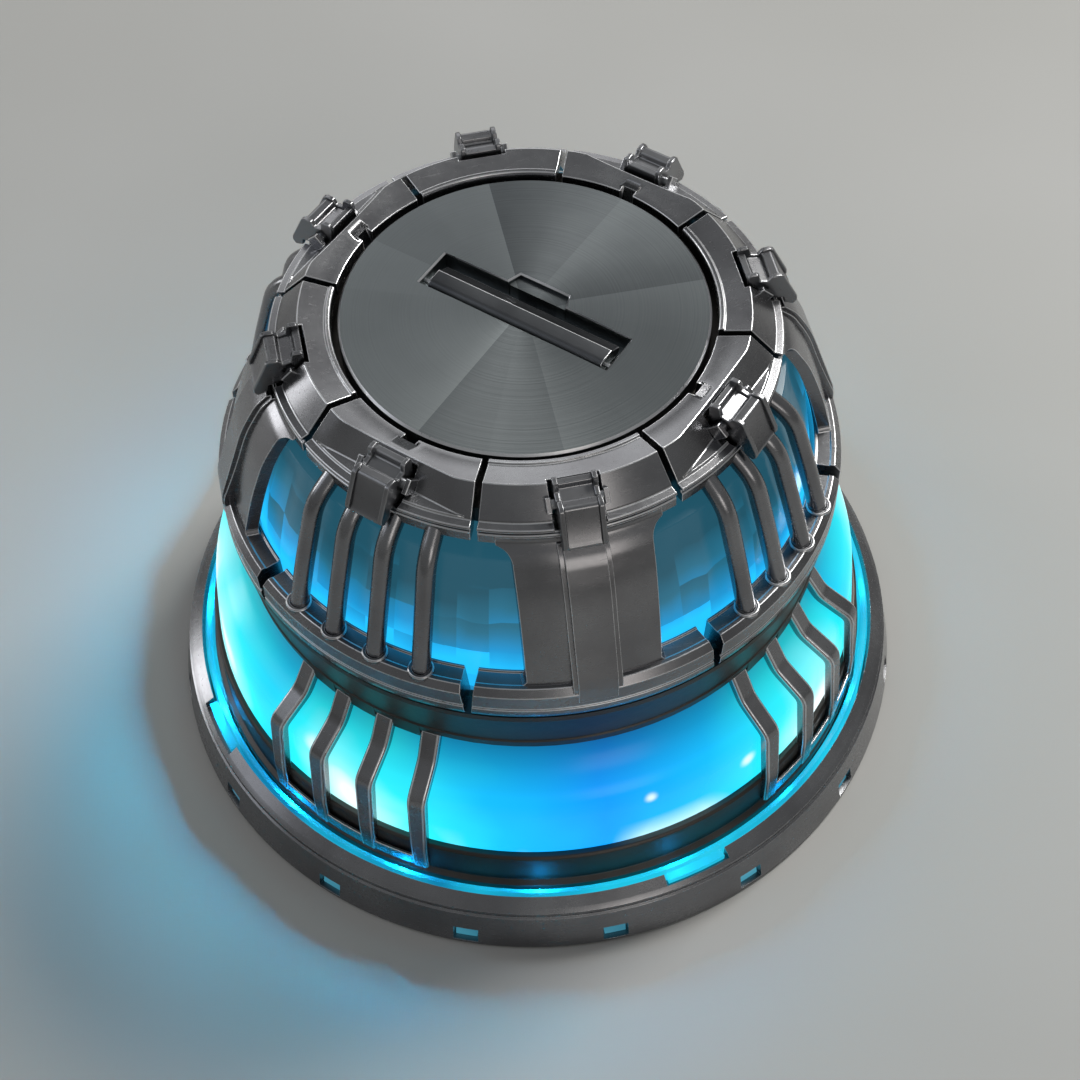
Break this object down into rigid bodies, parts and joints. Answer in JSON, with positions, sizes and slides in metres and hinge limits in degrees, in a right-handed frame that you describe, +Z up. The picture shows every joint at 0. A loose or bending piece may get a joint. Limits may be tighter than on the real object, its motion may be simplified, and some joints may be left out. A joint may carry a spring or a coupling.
{
  "type": "light-up spinning top",
  "caption": "Desk spinning top: a dome of hinged petals and a glowing bell turn on a bearing in a lit ring stand, with a fold-up grip in the top disc.",
  "frame": {"origin": "on the spin axis, in the plane of the table that the rubber foot stands on", "axes": "+Z up along the spin axis; -Y through the middle of petal 1, +X through the middle of petal 3"},
  "size_m": [0.08, 0.08, 0.0547],
  "materials": {
    "gunmetal": "gunmetal plated, satin, lightly brushed",
    "dark_gunmetal": "dark gunmetal plated, satin",
    "brushed_disc": "spun brushed gunmetal",
    "bright_steel": "turned steel",
    "cyan_lens": "clear cyan diffuser, lit from inside",
    "teal_lens": "clear teal moulding, lit from below",
    "clear_lens": "water-clear moulding",
    "black_plastic": "moulded, fine texture",
    "circuit_board": "solder mask over glass fibre",
    "rubber_foot": "moulded rubber",
    "led_lens": "clear lamp lens, lit",
    "brass_leaf": "sprung brass strip"
  },
  "bodies": {
    "stand": {"base_ring": "gunmetal", "light_ring": "cyan_lens", "base_plate": "black_plastic", "foot_ring": "rubber_foot", "battery_door": "black_plastic", "door_screw": "bright_steel", "battery_cell": "bright_steel", "contact_leaf": "brass_leaf", "led_board": "circuit_board", "led_1": "led_lens", "led_2": "led_lens", "led_3": "led_lens", "led_4": "led_lens", "board_screw_1": "bright_steel", "board_screw_2": "bright_steel", "board_screw_3": "bright_steel", "bearing_outer": "bright_steel", "ball_cage": "bright_steel"},
    "switch": {"switch_slider": "black_plastic"},
    "rotor": {"bearing_inner": "bright_steel", "hub": "dark_gunmetal", "hub_screw": "bright_steel", "floor_lens": "clear_lens", "lower_ring": "dark_gunmetal", "diffuser": "cyan_lens", "rib_set_1": "gunmetal", "rib_set_2": "gunmetal", "rib_set_3": "gunmetal", "rib_set_4": "gunmetal", "skirt_ring": "gunmetal", "mid_deck": "clear_lens", "inner_shell": "teal_lens", "clip_plate": "dark_gunmetal", "top_disc": "brushed_disc", "grip_pin": "bright_steel", "hinge_clip_1": "dark_gunmetal", "hinge_clip_2": "dark_gunmetal", "hinge_clip_3": "dark_gunmetal", "hinge_clip_4": "dark_gunmetal", "hinge_clip_5": "dark_gunmetal", "hinge_clip_6": "dark_gunmetal", "hinge_clip_7": "dark_gunmetal", "hinge_clip_8": "dark_gunmetal"},
    "grip": {"grip_bar": "gunmetal"},
    "petal_1": {"petal_1": "gunmetal", "hinge_pin_1": "bright_steel"},
    "petal_2": {"petal_2": "gunmetal", "hinge_pin_2": "bright_steel"},
    "petal_3": {"petal_3": "gunmetal", "hinge_pin_3": "bright_steel"},
    "petal_4": {"petal_4": "gunmetal", "hinge_pin_4": "bright_steel"},
    "petal_5": {"petal_5": "gunmetal", "hinge_pin_5": "bright_steel"},
    "petal_6": {"petal_6": "gunmetal", "hinge_pin_6": "bright_steel"},
    "petal_7": {"petal_7": "gunmetal", "hinge_pin_7": "bright_steel"},
    "petal_8": {"petal_8": "gunmetal", "hinge_pin_8": "bright_steel"}
  },
  "joints": [
    {"name": "dome_spin", "type": "hinge", "parent": "stand", "child": "rotor", "pos_m": [0, 0, 0.0052], "axis": [0, 0, 1], "continuous": true},
    {"name": "grip_fold", "type": "hinge", "parent": "rotor", "child": "grip", "pos_m": [-0.00095, -0.00095, 0.05265], "axis": [0.7071, -0.7071, 0], "range_deg": [0, 90]},
    {"name": "switch_slide", "type": "slide", "parent": "stand", "child": "switch", "axis": [1, 0, 0], "range_m": [0, 0.0025]},
    {"name": "petal_1_swing", "type": "hinge", "parent": "rotor", "child": "petal_1", "pos_m": [0, -0.02245, 0.05245], "axis": [-1, 0, 0], "range_deg": [0, 8]},
    {"name": "petal_2_swing", "type": "hinge", "parent": "rotor", "child": "petal_2", "pos_m": [0.01587, -0.01587, 0.05245], "axis": [-0.7071, -0.7071, 0], "range_deg": [0, 8]},
    {"name": "petal_3_swing", "type": "hinge", "parent": "rotor", "child": "petal_3", "pos_m": [0.02245, 0, 0.05245], "axis": [0, -1, 0], "range_deg": [0, 8]},
    {"name": "petal_4_swing", "type": "hinge", "parent": "rotor", "child": "petal_4", "pos_m": [0.01587, 0.01587, 0.05245], "axis": [0.7071, -0.7071, 0], "range_deg": [0, 8]},
    {"name": "petal_5_swing", "type": "hinge", "parent": "rotor", "child": "petal_5", "pos_m": [0, 0.02245, 0.05245], "axis": [1, 0, 0], "range_deg": [0, 8]},
    {"name": "petal_6_swing", "type": "hinge", "parent": "rotor", "child": "petal_6", "pos_m": [-0.01587, 0.01587, 0.05245], "axis": [0.7071, 0.7071, 0], "range_deg": [0, 8]},
    {"name": "petal_7_swing", "type": "hinge", "parent": "rotor", "child": "petal_7", "pos_m": [-0.02245, 0, 0.05245], "axis": [0, 1, 0], "range_deg": [0, 8]},
    {"name": "petal_8_swing", "type": "hinge", "parent": "rotor", "child": "petal_8", "pos_m": [-0.01587, -0.01587, 0.05245], "axis": [-0.7071, 0.7071, 0], "range_deg": [0, 8]}
  ]
}
